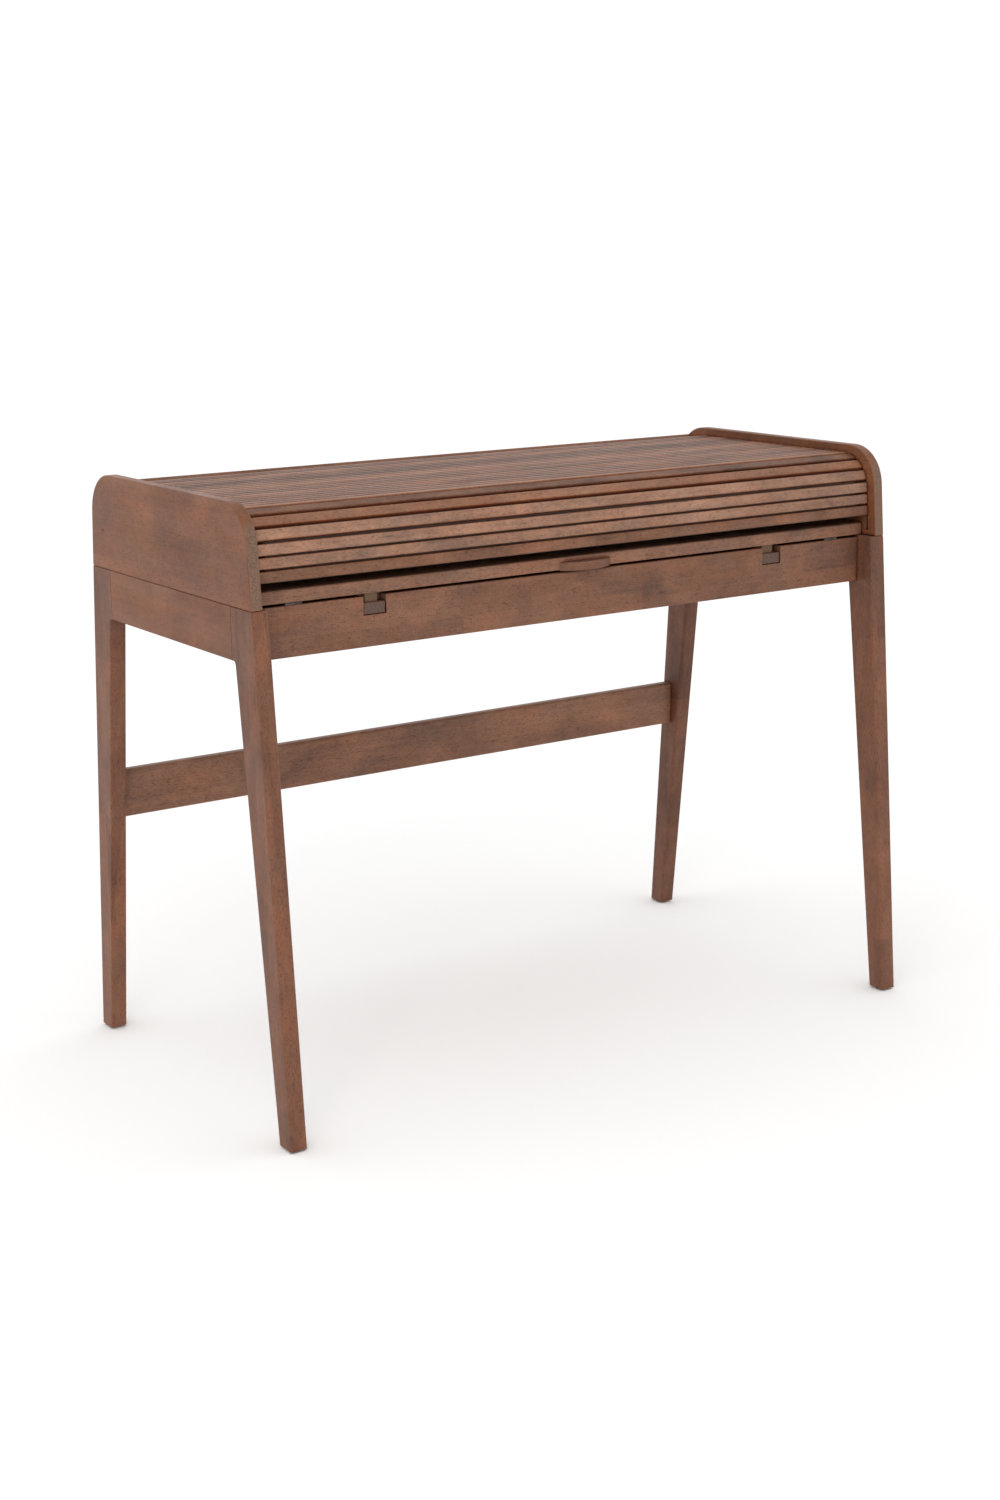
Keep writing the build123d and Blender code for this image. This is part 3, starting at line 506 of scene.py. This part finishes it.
def make_canvas_strip(body, first, last, replaced, material):
    """Woven strip glued behind the slats: hemmed along both sides, slack in the gaps between slats."""
    y, z, angle = slat_joints()[first - 1]
    slats = last - first + 1
    along = Vector((0.0, math.cos(angle), math.sin(angle)))
    outward = Vector((0.0, -math.sin(angle), math.cos(angle)))
    start = Vector((0.0, y, z))
    inner_x = CANVAS_HALF_WIDTH - HEM_WIDTH
    cloth_x = inner_x - HEM_STEP
    columns = [-CANVAS_HALF_WIDTH, -inner_x]
    columns += [cloth_x * (2 * step / CANVAS_COLUMNS - 1) for step in range(CANVAS_COLUMNS + 1)]
    columns += [inner_x, CANVAS_HALF_WIDTH]
    rows = [SLAT_PITCH * step / ROWS_PER_SLAT for step in range(slats * ROWS_PER_SLAT + 1)]
    rows[0] += END_GAP
    rows[-1] -= END_GAP
    shape = bmesh.new()
    outer_side, inner_side = [], []
    for row, distance in enumerate(rows):
        slack = SLACK * (1.0 + math.cos(2 * math.pi * row / ROWS_PER_SLAT))
        outer_row, inner_row = [], []
        for x in columns:
            hem = abs(x) >= inner_x - ROUNDING
            thick = HEM_THICK if hem else CANVAS_THICK
            place = start + along * distance + Vector((x, 0.0, 0.0))
            outer_row.append(shape.verts.new(place + outward * (CANVAS_RISE - slack / 2)))
            inner_row.append(shape.verts.new(place + outward * (CANVAS_RISE - thick - slack)))
        outer_side.append(outer_row)
        inner_side.append(inner_row)
    last_row, last_column = len(rows) - 1, len(columns) - 1
    for row in range(last_row):
        for column in range(last_column):
            a, b = (row, column), (row, column + 1)
            c, d = (row + 1, column + 1), (row + 1, column)
            shape.faces.new([outer_side[i][j] for i, j in (a, b, c, d)])
            shape.faces.new([inner_side[i][j] for i, j in (d, c, b, a)])
    for column in range(last_column):
        for row, order in ((0, 1), (last_row, -1)):
            edge = [inner_side[row][column], inner_side[row][column + 1]]
            edge += [outer_side[row][column + 1], outer_side[row][column]]
            shape.faces.new(edge[::order])
    for row in range(last_row):
        for column, order in ((0, -1), (last_column, 1)):
            edge = [inner_side[row][column], inner_side[row + 1][column]]
            edge += [outer_side[row + 1][column], outer_side[row][column]]
            shape.faces.new(edge[::order])
    bmesh.ops.recalc_face_normals(shape, faces=shape.faces)
    mesh = bpy.data.meshes.new("woven_" + body)
    shape.to_mesh(mesh)
    shape.free()
    mesh.materials.append(material)
    strip = bpy.data.objects.new("woven_" + body, mesh)
    bpy.context.scene.collection.objects.link(strip)
    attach(strip, body)
    if replaced:
        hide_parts(replaced)


# ---------------------------------------------------------------- materials on their pieces
LIGHT = (0.262, 0.121, 0.07)
DARK = (0.088, 0.045, 0.031)
SLAT_LIGHT = (0.3, 0.15, 0.092)
SLAT_DARK = (0.088, 0.045, 0.031)
PAINTED_LIT_SLATS = ("slat_02", "slat_03", "slat_04")     # painted light and sheen: two in the drop and one in the corner, made paler because their faces catch more light
PAINTED_LIT_SLAT_LIGHT = (0.46, 0.25, 0.16)
PAINTED_LIT_SLAT_DARK = (0.135, 0.077, 0.057)
LEG_LIGHT = (0.23, 0.1, 0.057)
LEG_DARK = (0.085, 0.04, 0.026)
PANEL_LIGHT = (0.255, 0.101, 0.048)
PANEL_DARK = (0.108, 0.044, 0.022)
BOARD_LIGHT = (0.315, 0.155, 0.094)
BOARD_DARK = (0.125, 0.066, 0.045)
RUNNER_LIGHT = (0.19, 0.098, 0.066)
RUNNER_DARK = (0.075, 0.042, 0.031)
RAW_LIGHT = (0.62, 0.42, 0.26)
RAW_DARK = (0.4, 0.25, 0.15)
# painted shade: a darker copy of the raw wood colours, for the webs that sit in shade in their notches
WEB_SHADED_LIGHT = (0.4, 0.23, 0.125)
WEB_SHADED_DARK = (0.25, 0.14, 0.075)
PLY_LIGHT = (0.235, 0.104, 0.058)
PLY_DARK = (0.105, 0.049, 0.03)
DUCK_LIGHT = (0.12, 0.095, 0.075)
DUCK_DARK = (0.05, 0.04, 0.032)
THREAD = 0.0011
LONG_STAVE = (0.31, 0.046)
KNOT = ((0.202, -0.55, 0.78), (0.0055, 0.02, 0.0028), 0.9)   # centre along the grain, reach, darkness

wood_x = stained_wood("stained_wood_x", "X", LIGHT, DARK, stave=LONG_STAVE)
wood_y = stained_wood("stained_wood_y", "Y", PANEL_LIGHT, PANEL_DARK, stave=(0.26, 0.05), cool_amount=0.2)
board_wood = stained_wood("board_wood", "X", BOARD_LIGHT, BOARD_DARK, stave=LONG_STAVE, tone_spread=0.04)
runner_wood = stained_wood("runner_wood", "Y", RUNNER_LIGHT, RUNNER_DARK)
wood_z = stained_wood("stained_wood_z", "Z", LEG_LIGHT, LEG_DARK, stave=(0.24, 0.03), cool_amount=0.35)
slat_wood = stained_wood("slat_wood", "X", SLAT_LIGHT, SLAT_DARK, tone_spread=0.3, cool_amount=0.8,
                         rub_amount=0.0, rim_shade_amount=0.9, gleam=0.1)
# painted light: a paler, glossier copy of the slat stain for the slats whose faces catch more light
painted_lit_slat_wood = stained_wood("painted_lit_slat_wood", "X", PAINTED_LIT_SLAT_LIGHT, PAINTED_LIT_SLAT_DARK, tone_spread=0.2,
                              cool_amount=0.6, rub_amount=0.0, rim_shade_amount=0.7, gleam=0.2)
panel_look = {"stave": (0.6, 0.055), "tone_spread": 0.04, "cool_amount": 0.2, "end_tint_and_sheen": PANEL_END_SHEEN_TINT}
panel_wood = stained_wood("panel_wood", "Y", PANEL_LIGHT, PANEL_DARK, **panel_look)
knotty_wood = stained_wood("panel_wood_knot", "Y", PANEL_LIGHT, PANEL_DARK, knot=KNOT, **panel_look)
pale_wood_x = raw_wood("raw_wood_x", "X", RAW_LIGHT, RAW_DARK)
shaded_raw_wood_y = raw_wood("raw_wood_y_shaded", "Y", WEB_SHADED_LIGHT, WEB_SHADED_DARK)
pale_wood_z = raw_wood("raw_wood_z", "Z", RAW_LIGHT, RAW_DARK)
ply = plywood("stained_plywood", "X", PLY_LIGHT, PLY_DARK)
duck = canvas("cotton_duck", DUCK_LIGHT, DUCK_DARK, THREAD)

paint(["front_rail", "back_rail", "pull_handle", "back_cap"], wood_x)
paint(["writing_board", "stretcher"], board_wood)
paint(["side_apron_left", "side_apron_right"], wood_y)
paint(["runner_foot_left", "runner_foot_right"], runner_wood)
paint(["leg_front_left", "leg_front_right", "leg_back_left", "leg_back_right"], wood_z)
paint(["side_panel_right"], panel_wood)
paint(["side_panel_left"], knotty_wood)
paint([name for name in NODES if name.startswith("slat_")], slat_wood)
paint(PAINTED_LIT_SLATS, painted_lit_slat_wood)
paint(["rail_dowels"], pale_wood_x)
# these pieces get the darker raw wood with the webs' painted shade
paint(["runner_webs", "runner_guide_left", "runner_guide_right", "stop_blocks", "handle_dowels"], shaded_raw_wood_y)
paint(["panel_dowels"], pale_wood_z)
paint(["bottom_panel", "back_panel", "organizer_floor", "organizer_back", "organizer_dividers"], ply)
paint(["canvas_top", "canvas_front", "canvas_back"], duck)
for strip_body, first_slat, last_slat, cad_strip in CANVAS_STRIPS:
    make_canvas_strip(strip_body, first_slat, last_slat, cad_strip, duck)
paint(["glide_plates"], zinc_plate("zinc_plate"))
paint(["foot_glides"], moulded_nylon("moulded_nylon"))

bpy.context.scene.view_settings.view_transform = "Standard"
make_camera()
make_floor()
make_world(WORLD_COLOUR, WORLD_STRENGTH)
make_softbox("key_light", KEY_PLACE, KEY_TARGET, KEY_SIZE, KEY_WATTS, KEY_COLOUR)
